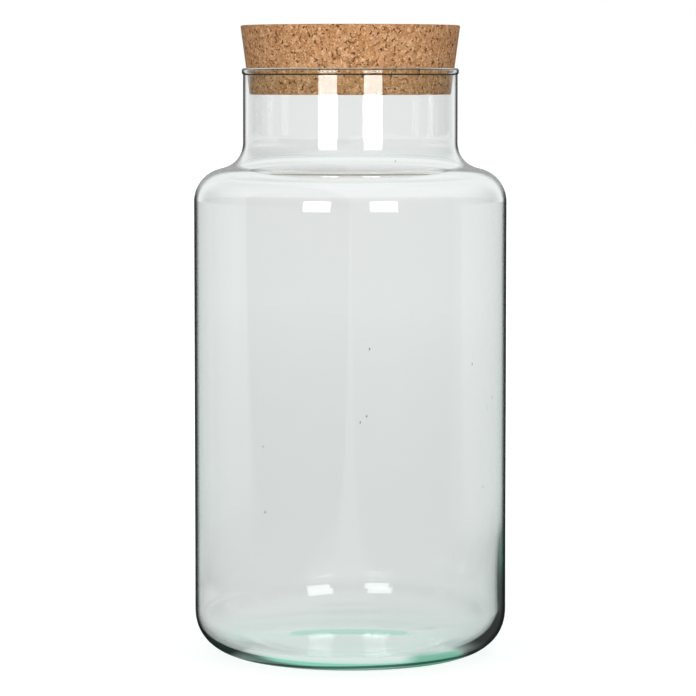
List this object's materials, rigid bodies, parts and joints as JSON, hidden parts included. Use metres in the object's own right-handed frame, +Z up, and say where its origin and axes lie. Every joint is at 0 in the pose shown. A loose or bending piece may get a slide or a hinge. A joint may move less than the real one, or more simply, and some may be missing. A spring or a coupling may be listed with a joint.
{
  "type": "glass storage jar",
  "caption": "Tall round clear glass storage jar with a sloping shoulder, a short wide neck and a tapered cork stopper that lifts out.",
  "frame": {"origin": "centre of the flat foot ring, in the plane that the jar stands on", "axes": "+Z up along the jar's axis, through the mouth and the cork; the jar is round, so X and Y are free"},
  "size_m": [0.15, 0.15, 0.3034],
  "materials": {
    "clear_glass": "polished",
    "natural_cork": "matte"
  },
  "bodies": {
    "jar": {"glass_jar": "clear_glass"},
    "cork": {"cork_stopper": "natural_cork"}
  },
  "joints": [
    {"name": "cork_lift", "type": "slide", "parent": "jar", "child": "cork", "axis": [0, 0, 1], "range_m": [0, 0.1]}
  ]
}
